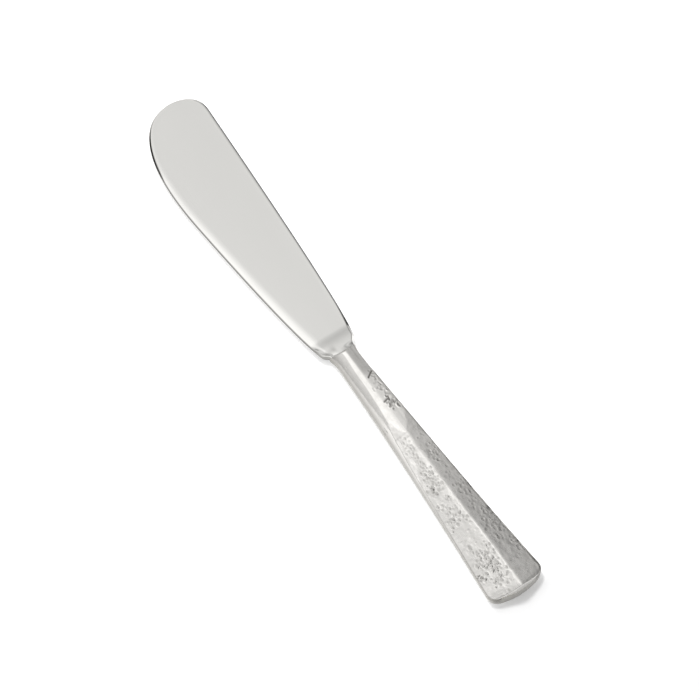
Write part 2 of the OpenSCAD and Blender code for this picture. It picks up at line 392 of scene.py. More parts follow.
@dataclass(frozen=True)
class ForgedStainless:
    """Stainless steel with a forged skin, left on the facets and polished away on the neck."""

    # A forged skin gives a satin, mottled look with small bright high spots, where the polished neck
    # mirrors. Its real grain is about 0.1 mm, and is drawn coarser than real here so that it shows.
    name: str = "forged_stainless"
    tone: str = "#E3E1DE"
    shade_tone: str = "#D7D5D1"
    dirt_and_shade_tone: str = "#5B5852"
    polish_roughness: float = 0.14
    forged_roughness: float = 0.22
    roughness_spread: float = 0.1
    grain_size: float = 0.42
    grain_depth: float = 0.005
    cloud_size: float = 2.4
    cloud_span: Pair = (0.38, 0.62)

    def build(self) -> bpy.types.Material:
        """Return the material."""
        material = bpy.data.materials.new(self.name)
        tree = cleared(material)
        place = add_node(tree, "ShaderNodeTexCoord").outputs["Object"]
        forged = add_node(tree, "ShaderNodeAttribute", {"attribute_name": FORGED}).outputs["Fac"]
        pattern = {"Scale": per_metre(self.grain_size), "Detail": 3.0, "Roughness": 0.6}
        grain = add_node(tree, "ShaderNodeTexNoise", pattern, {"Vector": place})
        pattern = {"Scale": per_metre(self.cloud_size), "Detail": 4.0, "Roughness": 0.6}
        clouds = add_node(tree, "ShaderNodeTexNoise", pattern, {"Vector": place})
        low, high = self.cloud_span
        levels = {"From Min": low, "From Max": high, "To Max": self.roughness_spread}
        patches = add_node(tree, "ShaderNodeMapRange", levels, {"Value": clouds})
        levels = {"To Min": self.polish_roughness, "To Max": self.forged_roughness}
        base = add_node(tree, "ShaderNodeMapRange", levels, {"Value": forged})
        gloss = add_node(tree, "ShaderNodeMath", {"operation": "ADD"}, {0: base, 1: patches})
        tones = {"data_type": "RGBA", COLOUR_A: linear(self.tone), COLOUR_B: linear(self.shade_tone)}
        polish = add_node(tree, "ShaderNodeMix", tones, {FACTOR: clouds}).outputs[MIXED]
        cut = {"Distance": self.grain_depth * MM}
        relief = add_node(tree, "ShaderNodeBump", cut, {"Height": grain, "Strength": forged})
        finish_steel(tree, self.dirt_and_shade_tone, polish, gloss, relief)
        return material


@dataclass(frozen=True)
class SpeckledFill:
    """A speckled finish for what hardly shows: brazing alloy filed flush, or cement in the handle."""

    name: str
    tone: str
    speck_tone: str
    speck_size: float
    metallic: float
    roughness: float

    def build(self) -> bpy.types.Material:
        """Return the material."""
        material = bpy.data.materials.new(self.name)
        tree = cleared(material)
        place = add_node(tree, "ShaderNodeTexCoord").outputs["Object"]
        pattern = {"Scale": per_metre(self.speck_size), "Detail": 3.0}
        specks = add_node(tree, "ShaderNodeTexNoise", pattern, {"Vector": place})
        tones = {"data_type": "RGBA", COLOUR_A: linear(self.tone), COLOUR_B: linear(self.speck_tone)}
        tint = add_node(tree, "ShaderNodeMix", tones, {FACTOR: specks}).outputs[MIXED]
        look = {"Metallic": self.metallic, "Roughness": self.roughness}
        body = add_node(tree, "ShaderNodeBsdfPrincipled", look, {"Base Color": tint})
        add_node(tree, "ShaderNodeOutputMaterial", links={"Surface": body})
        return material


# Handle


@dataclass(frozen=True)
class Pits:
    """A cluster of small pits in one stretch of a facet, thinning out from its middle."""

    count: int
    place: Pair
    spread: Pair
    radius: Pair
    depth: Pair
    seed: int


@dataclass(frozen=True)
class Nick:
    """A short narrow scratch pressed into the neck by use."""

    start: Pair
    end: Pair
    width: float
    depth: float


@dataclass
class Handle:
    """The hollow handle: its plan, its section and its two pressed shells."""

    # Plan
    length: float = 81.0
    neck_width: float = 6.9
    butt_width: float = 16.6
    butt_corner: float = 3.0
    butt_bow: float = 0.9
    bow_power: float = 8.0
    flare_power: float = 1.44
    mouth_flare: float = 0.5
    mouth_flare_length: float = 3.4
    mouth_rake: float = 1.4
    rake_power: float = 1.7
    rake_fade: float = 0.08

    # Heights of the front
    parting_height: float = 3.0
    rises: tuple[float, float, float] = (2.7, 3.25, 2.8)
    edge_land: float = 0.35
    edge_round: float = 0.25
    edge_fall: float = 0.1
    far_chamfer: float = 0.6
    far_fall: float = 0.24

    # Roof facets and the arches where they begin
    ridge_start: float = 30.0
    ridge_sway: float = -0.3
    sway_run: Pair = (52.0, 68.0)
    roof_foot: float = 2.0
    foot_start: float = 26.0
    foot_end: float = 74.0
    arch_lift: float = 0.115
    far_arch_lift: float = 0.088
    arch_blend: float = 0.8
    arch_round: float = 0.055
    crests: tuple[float, float, float] = (0.16, 0.55, 0.32)
    crest_share: float = 0.4
    forged_edge: float = 0.12
    forged_lead: float = 0.4

    # Neck
    crown_slope: float = 0.14
    far_slopes: tuple[float, float, float] = (0.34, 0.17, 0.09)
    far_turn: float = 9.6
    far_turn_lengths: Pair = (4.4, 12.0)
    far_cheek: float = 0.75
    cheek_line: Line = (
        (0.0, 8.0, 15.0, 22.0, 30.0, 40.0, 55.0, 81.0),
        (0.27, 0.38, 0.43, 0.545, 0.72, 0.885, 0.93, 0.95),
    )
    cheek_smoothing: tuple[float, int] = (3.0, 13)
    cheek_power: float = 1.3
    crease_round: float = 0.1
    crease_clear: float = 1.0

    # Back and wall
    neck_tuck: float = 1.9
    butt_tuck: float = 0.7
    tuck_rise: float = 0.8
    wall: float = 0.9
    braze_gap: float = 0.16
    end_round: float = 0.3
    end_fade: float = 2.0
    lip_round: float = 0.18
    lip_share: float = 0.5
    corner_round: float = 0.1
    inner_round: float = 0.02

    # Painted shade: darker steel on the near cheek, the far side and the back's top, for the shaded floor
    # they reflect
    cheek_shade: float = 0.66
    cheek_shade_power: float = 1.8
    far_side_shade: float = 1.0
    far_side_shade_line: Line = ((0.0, 8.0, 12.0, 24.0, 34.0, 81.0), (0.85, 0.85, 1.5, 1.5, 0.85, 0.85))
    back_top_shade: float = 0.75
    back_top_shade_depth: float = 2.4
    plain_forged: float = 0.5

    # Fineness of the mesh
    front_columns: int = 141
    back_columns: int = 61
    inner_columns: int = 13
    wall_rows: int = 7
    lip_rows: int = 5
    front_spacing: float = 0.15
    back_spacing: float = 0.45
    front_samples: tuple[int, int] = (521, 401)
    back_samples: int = 60
    relief_margin: float = 0.4
    sharp_angle: float = 50.0

    def half(self, d: float) -> float:
        """Return the half width at a distance d behind the mouth."""
        flare = lerp(self.neck_width, self.butt_width, clamp(d / self.length) ** self.flare_power) / 2
        spread = self.mouth_flare * (1.0 - clamp(d / self.mouth_flare_length)) ** 2
        left = np.maximum(0.0, self.butt_corner - (self.length - d))
        corner = self.butt_corner - np.sqrt(np.maximum(0.0, self.butt_corner**2 - left**2))
        return float(flare + spread - corner)

    def crown(self) -> float:
        """Return the neck's full height over the parting plane."""
        return self.edge_land + self.rises[0]

    def level(self, d: float, levels: tuple[float, float, float], ease: Callable[[Any], Any]) -> float:
        """Return a size that changes from the mouth to the ridge's start, and on to the butt.

        Args:
            d: Distance behind the mouth.
            levels: The size at the mouth, at the ridge's start and at the butt.
            ease: Shapes the change up to the ridge's start.

        Returns:
            The size.
        """
        at_mouth, at_ridge, at_butt = levels
        if d < self.ridge_start:
            return lerp(at_mouth, at_ridge, ease(d / self.ridge_start))
        return lerp(at_ridge, at_butt, (d - self.ridge_start) / (self.length - self.ridge_start))

    def rise(self, d: float) -> float:
        """Return the crown's height over the roof's foot at a distance d behind the mouth."""
        return self.level(d, self.rises, float)

    def off_crest(self, d: float, y: Array) -> Array:
        """Return the distances y from the middle, rounded over at the crest."""
        crest = self.level(d, self.crests, smooth)
        return np.sqrt(y * y + crest * crest) - self.crest_share * crest

    def roof(self, d: float, y: Array) -> Array:
        """Return the two roof facets' height over their foot.

        Args:
            d: Distance behind the mouth.
            y: Distances from the middle.

        Returns:
            The height at each y, more than the neck's where the facets haven't begun.
        """
        rise = self.rise(d)
        foot = self.roof_foot * (1.0 - between(d, self.foot_start, self.foot_end))
        slope = (rise - foot) / self.half(d)
        ahead = max(0.0, self.ridge_start - d)
        far = smooth(-y / self.arch_blend)
        lift = lerp(self.arch_lift * math.sqrt(ahead), self.far_arch_lift * ahead, far)
        off = y - self.ridge_sway * between(d, *self.sway_run)
        return rise + lift - slope * self.off_crest(d, off)

    def neck(self, d: float, y: Array) -> Array:
        """Return the neck's height over the roof's foot: a low crown between two steep cheeks.

        Args:
            d: Distance behind the mouth.
            y: Distances from the middle, above zero on the cutting edge's side.

        Returns:
            The height at each y.
        """
        half, rise = self.half(d), self.rise(d)
        at_mouth, past_nick, at_arch = self.far_slopes
        turn, settling = self.far_turn_lengths
        far = lerp(past_nick, at_arch, clamp((d - self.far_turn) / settling))
        far = lerp(at_mouth, far, smooth((d - self.far_turn) / turn + 0.5))
        slope = np.where(y > 0, self.crown_slope, far)
        away = np.abs(y)
        crown = rise - slope * self.off_crest(d, away)
        start = np.where(y > 0, self.near_start(d), half - self.far_cheek)
        cheek = (rise - slope * start) * cap((away - start) / (half - start), self.cheek_power)
        clear = np.maximum(cheek, crown + self.crease_clear)
        return soft_min(crown, np.where(away < start, clear, cheek), self.crease_round)

    def near_start(self, d: float) -> float:
        """Return how far from the middle the cutting edge's side cheek starts."""
        reach, count = self.cheek_smoothing
        nearby = d + np.linspace(-reach, reach, count)
        return self.half(d) * float(np.interp(nearby, *self.cheek_line).mean())

    def painted_side_shade(self, d: float, y: Array) -> Array:
        """Return the painted shade: how much darker the steel is drawn on the near cheek and towards the
        far seam.
        """
        half, start = self.half(d), self.near_start(d)
        cheek = clamp((y - start) / (half - start)) ** self.cheek_shade_power
        far = clamp(1.0 - (half + y) / float(np.interp(d, *self.far_side_shade_line)))
        return self.cheek_shade * cheek + self.far_side_shade * far

    def front_height(self, d: float, y: Array) -> Array:
        """Return the front's height over the parting plane at a distance d and at places y."""
        inside = self.half(d) - np.abs(y)
        near = self.edge_fall * (1.0 - quarter(inside / self.edge_round))
        far = self.far_fall * (1.0 - clamp(inside / self.far_chamfer))
        fall = np.where(y > 0, near, far)
        top = soft_min(self.roof(d, y), self.neck(d, y), self.arch_round)
        return self.edge_land + np.maximum(0.0, top) - fall

    def forged(self, d: float, y: Array) -> Array:
        """Return where the forged roof facets are, 1, and where the polished neck is, 0."""
        return smooth((self.neck(d, y) - self.roof(d, y)) / self.forged_edge + self.forged_lead)

    def front_section(self, d: float) -> Array:
        """Return the front's section (n, 2) as y and height over the parting plane, from -Y to +Y."""
        half, low = self.half(d), self.braze_gap / 2
        crowded, even = self.front_samples
        turn = np.sin(np.linspace(-math.pi / 2, math.pi / 2, crowded))
        y = half * np.sort(np.unique(np.concatenate([turn, np.linspace(-1.0, 1.0, even)])))
        line = np.stack([y, self.front_height(d, y)], axis=1)
        return np.concatenate([[[-half, low]], line, [[half, low]]])

    def back_section(self, d: float) -> Array:
        """Return the back's section (n, 2) as y and height over the parting plane, from -Y to +Y."""
        half = self.half(d)
        tuck = lerp(self.neck_tuck, self.butt_tuck, smooth(d / self.ridge_start))
        drop = self.parting_height * self.tuck_rise
        turn = np.linspace(0.0, math.pi / 2, self.back_samples)
        widths = half - tuck * (1.0 - np.cos(turn))
        curve = np.stack([widths, drop - self.parting_height - drop * np.sin(turn)], axis=1)
        side = np.concatenate([[[half, -self.braze_gap / 2]], curve, [[0.0, -self.parting_height]]])
        return np.concatenate([side * (-1.0, 1.0), side[-2::-1]])

    def placed(self, d: float, section: Array) -> Array:
        """Return a section's points (n, 3) at their place, with the raked mouth and the bowed butt."""
        y, height = section.T
        bow = self.butt_bow * (d / self.length) ** self.bow_power
        fade = clamp(1.0 - d / (self.rake_fade * self.length))
        rake = self.mouth_rake * clamp(height / self.crown()) ** self.rake_power
        x = bow * (y / self.half(d)) ** 2 - d - fade * rake
        return np.stack([x, y, self.parting_height + height], axis=1)

    def stations(self, spacing: float) -> Array:
        """Return the distances behind the mouth at which sections lie, closer at both ends."""
        lip = self.lip_round * (1.0 - np.cos(np.linspace(0.0, math.pi / 2, self.lip_rows)))
        corner_start = self.length - self.butt_corner
        middle = np.linspace(self.lip_round, corner_start, int(corner_start / spacing))[1:]
        turn = np.sin(np.linspace(0.0, math.pi / 2, int(2 * self.butt_corner / spacing)))[1:]
        return np.concatenate([lip, middle, corner_start + self.butt_corner * turn])

    def rounded_ends(self, d: float, section: Array) -> Array:
        """Return the section drawn in a little at the mouth's lip and at the butt's rim."""
        y, height = section.T
        lip = self.lip_round * (1.0 - quarter(d / self.lip_round)) * self.lip_share
        rim = self.end_round * (1.0 - quarter((self.length - d) / self.end_round))
        fade = clamp(np.abs(height) / (self.end_fade * self.end_round))
        return np.stack([y, height - np.sign(height) * (lip + rim) * fade], axis=1)

    def inner_section(self, d: float, which: Half) -> Array:
        """Return the wall's inner line (inner_columns, 2) behind the same section."""
        half, low = self.half(d), self.braze_gap / 2
        section = self.front_section(d) if which is Half.FRONT else self.back_section(d)
        top = float(np.abs(section[:, 1]).max())
        line = respaced(section[1:-1], self.inner_columns, self.inner_round)
        heights = which.value * np.maximum(low, np.abs(line[:, 1]) * ((top - self.wall) / top))
        heights[[0, -1]] = which.value * low
        return np.stack([line[:, 0] * (half - self.wall) / half, heights], axis=1)

    def shell(self, which: Half, relief: Callable[..., tuple[Array, Array]] | None) -> Mesh:
        """Build one pressed shell: skin, mouth lip, end wall, rim and hollow.

        Args:
            which: Front or back.
            relief: Gives the skin's inward relief and how much darker it is drawn, from its distances
                behind the mouth, its distances along the section and how forged it is, all (m, n).

        Returns:
            The mesh, not yet made into an object.
        """
        front = which is Half.FRONT
        columns = self.front_columns if front else self.back_columns
        section = self.front_section if front else self.back_section
        stations = self.stations(self.front_spacing if front else self.back_spacing)
        lines = [self.rounded_ends(d, respaced(section(d), columns, self.corner_round)) for d in stations]
        skin = np.stack([self.placed(d, line) for d, line in zip(stations, lines)])
        forged = np.full(skin.shape[:2], self.plain_forged)
        # Painted shade: the back shell is drawn darker near the parting plane, fading downwards.
        grime = self.back_top_shade * clamp(1.0 - (self.parting_height - skin[..., 2]) / self.back_top_shade_depth)
        if relief is not None:
            forged = np.stack([self.forged(d, line[:, 0]) for d, line in zip(stations, lines)])
            along = np.repeat(stations[:, None], columns, axis=1)
            steps = np.linalg.norm(np.diff(skin, axis=1), axis=2)
            across = np.concatenate([np.zeros((len(stations), 1)), np.cumsum(steps, axis=1)], axis=1)
            across -= across[:, columns // 2][:, None]
            depth, grime = relief(along, across, forged)
            outward = surface_normals(skin)
            outward *= np.sign(outward[len(stations) // 2, columns // 2, 2])
            inside = np.minimum(across - across[:, :1], across[:, -1:] - across)
            skin = skin - outward * (depth * clamp(inside / self.relief_margin))[..., None]
            # Painted shade: the front is drawn darker on the near cheek and along the far side.
            painted_darker_steel = np.stack([self.painted_side_shade(d, line[:, 0]) for d, line in zip(stations, lines)])
            grime = clamp(np.maximum(grime, painted_darker_steel))
        mesh = Mesh("handle_front_shell" if front else "handle_back_shell")
        outer = mesh.add(skin, grime, forged)
        cavity = int(np.searchsorted(stations, self.length - self.wall))
        hollow = [self.placed(d, self.inner_section(d, which)) for d in stations[: cavity + 1]]
        inner = mesh.add(np.stack(hollow))
        flip = which.value
        mesh.grid(outer[:, ::flip])
        mesh.grid(inner[:, ::-flip])
        mesh.zip(outer[0, ::flip], inner[0, ::flip])
        mesh.grid(np.stack([outer[: cavity + 1, 0], inner[:, 0]])[::flip])
        mesh.grid(np.stack([inner[:, -1], outer[: cavity + 1, -1]])[::flip])
        floor = flip * self.braze_gap / 2 + self.parting_height
        shares = np.linspace(0.0, 1.0, self.wall_rows)[1:, None]
        rows = np.repeat(skin[-1:, 1:-1], len(shares), axis=0)
        rows[..., 2] = lerp(rows[..., 2], floor, shares)
        walls = mesh.add(rows, 0.0, self.plain_forged)
        ends = [np.full(len(walls), outer[-1, k]) for k in (0, -1)]
        wall = np.concatenate([outer[-1:], np.column_stack([ends[0], walls, ends[1]])])
        mesh.grid(wall[:, ::flip])
        rim = [*outer[cavity:-1, 0], *wall[-1], *outer[cavity:-1, -1][::-1]]
        mesh.zip([inner[-1, 0], inner[-1, -1]][::flip], rim[::flip])
        mesh.face(inner[-1, ::-flip])
        return mesh


@dataclass
class Skin:
    """The front shell's skin, all (m, n): each point's place on it, its inward relief and how much darker
    it is drawn.
    """

    along: Array
    across: Array
    depth: Array
    grime: Array


@dataclass
class FrontRelief:
    """What forging and use left in the front shell: soft hammer dents, grain, pits and a few nicks."""

    dent_size: float = 4.2
    dent_depth: float = 0.018
    dent_seed: int = 3
    neck_dents: float = 0.5
    grain_sizes: tuple[float, ...] = (1.6, 0.85, 0.48)
    grain_depths: tuple[float, ...] = (0.045, 0.032, 0.015)
    grain_seed: int = 5
    neck_grain: float = 0.1
    far_grain: float = 0.7
    streak_size: Pair = (9.0, 0.75)
    streak_depth: float = 0.02
    streak_seed: int = 9
    streak_start: float = 1.0
    streak_fade: float = 0.6
    rim_height: float = 0.5
    rim_place: float = 1.45
    rim_width: float = 0.4
    pit_growth: float = 1.25
    pit_squeeze: Pair = (0.7, 1.4)
    pit_reach: float = 3.0
    pit_darkening: float = 0.5
    dark_depth: float = 0.1
    ridge_margin: float = 0.3
    nick_darkening: float = 0.9
    clusters: tuple[Pits, ...] = (
        Pits(18, (32.5, 2.1), (1.8, 0.9), (0.18, 0.3), (0.02, 0.05), 11),
        Pits(20, (38.0, 2.0), (2.5, 0.9), (0.18, 0.3), (0.02, 0.05), 12),
        Pits(40, (44.0, 2.0), (2.4, 1.2), (0.2, 0.36), (0.03, 0.07), 13),
        Pits(5, (46.0, 3.8), (0.8, 0.4), (0.3, 0.42), (0.07, 0.1), 14),
        Pits(26, (54.0, 3.4), (2.2, 1.2), (0.2, 0.4), (0.03, 0.08), 15),
        Pits(7, (57.6, 1.1), (1.4, 0.5), (0.2, 0.4), (0.03, 0.07), 16),
        Pits(120, (72.6, 3.2), (3.4, 1.9), (0.2, 0.4), (0.03, 0.08), 17),
        Pits(9, (73.4, 7.0), (1.0, 0.6), (0.25, 0.4), (0.04, 0.08), 18),
        Pits(9, (68.0, 0.9), (1.5, 0.4), (0.2, 0.36), (0.03, 0.07), 19),
        Pits(60, (56.0, 3.0), (16.0, 1.8), (0.2, 0.34), (0.01, 0.03), 20),
        Pits(26, (37.7, -2.6), (3.0, 1.1), (0.22, 0.4), (0.02, 0.05), 21),
        Pits(22, (50.3, -4.2), (2.2, 1.2), (0.22, 0.4), (0.02, 0.05), 22),
        Pits(28, (61.8, -4.0), (2.5, 1.4), (0.22, 0.42), (0.02, 0.06), 23),
        Pits(8, (69.4, -6.6), (1.2, 0.5), (0.25, 0.42), (0.03, 0.06), 24),
        Pits(90, (56.0, -3.4), (16.0, 2.2), (0.25, 0.5), (0.01, 0.03), 25),
        Pits(36, (15.5, -1.9), (2.8, 0.6), (0.2, 0.36), (0.02, 0.05), 26),
        Pits(12, (20.8, -1.2), (1.2, 0.6), (0.22, 0.38), (0.08, 0.16), 27),
        Pits(4, (26.0, 5.6), (0.5, 0.3), (0.3, 0.45), (0.06, 0.1), 28),
    )
    nicks: tuple[Nick, ...] = (
        Nick((11.2, -0.4), (9.7, -2.5), 0.18, 0.16),
        Nick((19.4, 0.2), (19.0, -1.0), 0.2, 0.16),
        Nick((18.4, -1.5), (19.6, -1.2), 0.18, 0.15),
    )

    def __call__(self, along: Array, across: Array, forged: Array) -> tuple[Array, Array]:
        """Return the inward relief of the skin and how much darker it is drawn.

        Args:
            along: Distance of each point behind the mouth.
            across: Distance of each point from the ridge along the section.
            forged: 1 on the forged facets, 0 on the polished neck.

        Returns:
            Depth in millimetres, and darkening from 0 to 1.
        """
        side = np.where(across > 0, 1.0, self.far_grain)
        dents = value_noise(along, across, self.dent_size, self.dent_seed)
        depth = dents * self.dent_depth * lerp(self.neck_dents, 1.0, forged)
        for number, (size, deep) in enumerate(zip(self.grain_sizes, self.grain_depths)):
            grain = value_noise(along, across, size, self.grain_seed + number)
            depth += grain * deep * side * lerp(self.neck_grain, 1.0, forged)
        long, narrow = self.streak_size
        streaks = value_noise(along * narrow / long, across, narrow, self.streak_seed)
        beside = smooth((np.abs(across) - self.streak_start) / self.streak_fade)
        depth += streaks * self.streak_depth * (1.0 - forged) * beside
        skin = Skin(along, across, depth, np.zeros_like(depth))
        for pits in self.clusters:
            self.sink(pits, skin)
        for nick in self.nicks:
            self.press(nick, skin)
        return skin.depth, clamp(skin.grime)

    def sink(self, pits: Pits, skin: Skin) -> None:
        """Sink a cluster of pits into the skin, each with a slightly raised rim."""
        chance = np.random.default_rng(pits.seed)
        for _ in range(pits.count):
            d, s = chance.normal(pits.place, pits.spread)
            radius = chance.uniform(*pits.radius) * self.pit_growth
            deep = chance.uniform(*pits.depth)
            squeeze = chance.uniform(*self.pit_squeeze)
            if abs(s) < self.ridge_margin or s * pits.place[1] < 0:
                continue
            reach = self.pit_reach * radius
            rows = slice(*np.searchsorted(skin.along[:, 0], (d - reach, d + reach)))
            away = np.hypot((skin.along[rows] - d) * squeeze, skin.across[rows] - s) / radius
            bowl = np.exp(-(away**3))
            rim = np.exp(-(((away - self.rim_place) / self.rim_width) ** 2)) * self.rim_height
            skin.depth[rows] += deep * (bowl - rim)
            # Each pit is drawn darker the deeper it is.
            dark = bowl * clamp(deep / self.dark_depth) * self.pit_darkening
            skin.grime[rows] = np.maximum(skin.grime[rows], dark)

    def press(self, nick: Nick, skin: Skin) -> None:
        """Press a nick into the skin."""
        (d0, s0), (d1, s1) = nick.start, nick.end
        run = np.hypot(d1 - d0, s1 - s0)
        share = clamp(((skin.along - d0) * (d1 - d0) + (skin.across - s0) * (s1 - s0)) / run**2)
        away = np.hypot(skin.along - lerp(d0, d1, share), skin.across - lerp(s0, s1, share)) / nick.width
        groove = np.exp(-(away**2))
        skin.depth += nick.depth * groove
        # Each nick is drawn darker along its groove.
        skin.grime = np.maximum(skin.grime, groove * self.nick_darkening)


# Blade


@dataclass(frozen=True)
class Side:
    """One side of the blade's outline: its distance from the centre line, and where it turns in."""

    root: float
    reach: float
    power: float
    sweep: float
    shoulder: float


@dataclass
class Blade:
    """The forged blade with its bolster and tang."""

    handle: Handle

    # Outline
    length: float = 89.0
    spine: Side = Side(4.5, 11.05, 0.58, 7.3, 3.2)
    edge: Side = Side(4.4, 14.1, 0.575, 37.4, 1.8)
    tip_offset: float = 2.65
    tip_power: float = 2.3

    # Thickness, bevel and chamfer
    top: float = 3.3
    heel_thickness: float = 1.4
    tip_thickness: float = 0.9
    face_crown: float = 0.06
    face_crown_power: int = 8
    bevel_width: float = 3.2
    bevel_tip_width: float = 1.5
    bevel_taper: float = 2.2
    bevel_start: float = 5.2
    bevel_power: float = 2.3
    bevel_part: float = 3.0
    edge_thickness: float = 0.6
    tip_edge_thickness: float = 0.72
    edge_round: float = 0.34
    edge_power: float = 1.3
    tip_edge_round: float = 0.6
    tip_edge_power: float = 1.25
    tip_edge_run: Pair = (68.0, 74.0)
    spine_chamfer: float = 0.3
    heel_chamfer: float = 0.7
    heel_chamfer_place: tuple[float, float, float] = (1.6, 3.6, 14.0)
    chamfer_slope: float = 0.65
    chamfer_part: float = 4.0

    # Ramp, bolster and collar
    ramp_spine: float = 6.6
    ramp_edge: float = 6.2
    ramp_top: float = 0.9
    ramp_power: float = 1.4
    belly_power: float = 3.0
    belly_fade_power: float = 1.7
    bolster_top: float = 4.4
    bolster_crown: float = 0.06
    bolster_edge_drop: float = 0.16
    bolster_drop_start: float = 0.3
    bolster_tilt: float = 0.22
    bolster_turn: float = 1.3
    bolster_round: float = 0.5
    collar_rows: int = 4
    collar_lean: float = 0.4
    collar_depth: float = 0.06
    root_rake_length: float = 2.0
    root_closing: float = 0.14
    mouth_step: float = 0.16

    # Tang
    tang_length: float = 46.0
    tang_width: float = 3.0
    tang_thickness: float = 2.0
    tang_end: float = 0.55
    tang_power: float = 0.4
    tang_points: int = 25
    tang_rings: int = 12

    # Painted shade: dark lines along the cutting edge, the tip and the spine, darker by the heel, shade
    # under the heel and on the bolster's shoulder; residue with painted shade in the step at the mouth
    edge_line_shade: float = 0.7
    tip_line_shade: float = 0.75
    spine_line_shade: float = 0.45
    spine_line_run: Pair = (1.8, 3.4)
    line_shade_margin: float = 1.3
    under_heel_shade: float = 0.65
    heel_shade_run: Pair = (3.0, 14.0)
    under_heights: Pair = (2.3, 1.8)
    under_places: Pair = (2.0, 3.5)
    heel_darkening: float = 2.0
    heel_dark_run: Pair = (9.0, 6.0)
    shoulder_shade: float = 0.32
    shoulder_shade_place: Pair = (1.2, 1.0)
    shoulder_places: Pair = (0.8, 2.2)
    step_width: float = 0.5
    step_rise: Pair = (0.2, 0.8)
    step_fall: Pair = (3.1, 2.6)
    step_height: float = 3.2

    # Fineness of the mesh
    columns: int = 73
    rim_columns: int = 13
    bevel_columns: int = 28
    bevel_crowding: float = 1.9
    station_counts: tuple[int, int, int, int] = (25, 34, 70, 90)
    heel_margin: float = 0.6
    tip_reach: float = 0.99
    sharp_angle: float = 40.0

    def root_half(self) -> float:
        """Return the bolster's half width at the handle's mouth."""
        return self.handle.neck_width / 2 + self.handle.mouth_flare - self.mouth_step

    def outline(self, x: float, side: Side, offset: float) -> float:
        """Return one side's distance from the centre line.

        Args:
            x: Distance from the mouth towards the tip.
            side: The side.
            offset: How far the tip lies from the centre line towards this side.

        Returns:
            The distance.
        """
        wide = lerp(side.root, side.reach, clamp(x / self.length) ** side.power)
        turned = cap(1.0 - (self.length - x) / side.sweep, self.tip_power)
        line = offset + (wide - offset) * turned
        return float(lerp(self.root_half(), line, smooth(x / side.shoulder)))

    def collar(self, v: Array) -> Array:
        """Return the height at which the bolster would fill the handle's mouth, less the small step.

        Args:
            v: Places across the blade, from -1 at the spine to 1 at the cutting edge.

        Returns:
            The height at each place.
        """
        crown = self.handle.edge_land + self.handle.neck(0.0, v * self.handle.half(0.0))
        closing = quarter((1.0 - np.abs(v)) / self.root_closing)
        return self.handle.parting_height + np.maximum(0.0, crown - self.mouth_step) * closing

    def bolster(self, x: float, v: Array) -> Array:
        """Return the height of the bolster's top, level where the ramp meets it and tilted at the mouth.

        Args:
            x: Distance from the mouth towards the tip.
            v: Places across the blade, from -1 at the spine to 1 at the cutting edge.

        Returns:
            The height at each place, nowhere above the collar.
        """
        turn = between(x, self.bolster_turn, 0.0)
        fall = self.bolster_tilt * self.root_half() * turn * np.maximum(0.0, -v)
        drop = self.bolster_edge_drop * between(v, self.bolster_drop_start, 1.0)
        fall = fall + self.bolster_crown * v * v + drop
        return soft_min(self.collar(v), self.bolster_top - fall, self.bolster_round)

    def half_line(self, x: float, side: int) -> Array:
        """Return one face's line across the blade.

        Args:
            x: Distance from the mouth towards the tip.
            side: 1 for the upper face, -1 for the lower one.

        Returns:
            Points (columns, 3) from the spine to the cutting edge.
        """
        spine = -self.outline(x, self.spine, self.tip_offset)
        edge = self.outline(x, self.edge, -self.tip_offset)
        span = edge - spine
        along = float(clamp(x / self.length))
        tip = float(between(x, *self.tip_edge_run))
        edge_round = lerp(self.edge_round, self.tip_edge_round, tip)
        bevel = lerp(self.bevel_width, self.bevel_tip_width, along**self.bevel_taper)
        bevel = max(edge_round, float(bevel * smooth(x / self.bevel_start)))
        bevel = min(bevel, span / self.bevel_part)
        begins, full, ends = self.heel_chamfer_place
        heel = 1.0 - float(between(x, full, ends))
        rim = min(lerp(self.spine_chamfer, self.heel_chamfer, heel), span / self.chamfer_part)
        y = spine + span * self.spread(rim / span, bevel / span)
        v = (2 * y - spine - edge) / span
        thick = lerp(self.heel_thickness, self.tip_thickness, along) / 2
        thin = lerp(self.edge_thickness, self.tip_edge_thickness, tip) / 2
        from_edge, from_spine = edge - y, y - spine
        ground = (1.0 - clamp(from_edge / bevel)) ** self.bevel_power
        edge_curve = cap(1.0 - from_edge / edge_round, lerp(self.edge_power, self.tip_edge_power, tip))
        body = thin * edge_curve + (thick - thin) * (1.0 - ground)
        body = body - self.face_crown * v * v * (1.0 - np.abs(v) ** self.face_crown_power)
        chamfer = self.chamfer_slope * np.maximum(0.0, rim - from_spine) * float(between(x, begins, full))
        centre = self.top - self.heel_thickness / 2
        if side > 0:
            ramp = lerp(self.ramp_spine, self.ramp_edge, (v + 1.0) / 2.0)
            down = clamp((x - self.ramp_top) / (ramp - self.ramp_top)) ** self.ramp_power
            bolster, tall = self.bolster(x, v), self.collar(v)
            z = lerp(bolster, centre + body, smooth(down)) - chamfer
            lean = self.collar_lean * (tall - bolster)
        else:
            belly = (self.handle.parting_height - self.mouth_step) * cap(np.abs(v), self.belly_power)
            share = (1.0 - clamp(x / self.ramp_edge)) ** self.belly_fade_power
            z = lerp(centre - body + chamfer, self.handle.parting_height - belly, share)
            tall, lean = z, 0.0
        fade = (1.0 - float(clamp(x / self.root_rake_length))) ** 2
        return np.stack([x - (self.rake(tall) - lean) * fade, y, z], axis=1)

    def rake(self, height: Array) -> Array:
        """Return how far the handle's mouth leans back at a height over the table."""
        over = clamp((height - self.handle.parting_height) / self.handle.crown())
        return self.handle.mouth_rake * over**self.handle.rake_power

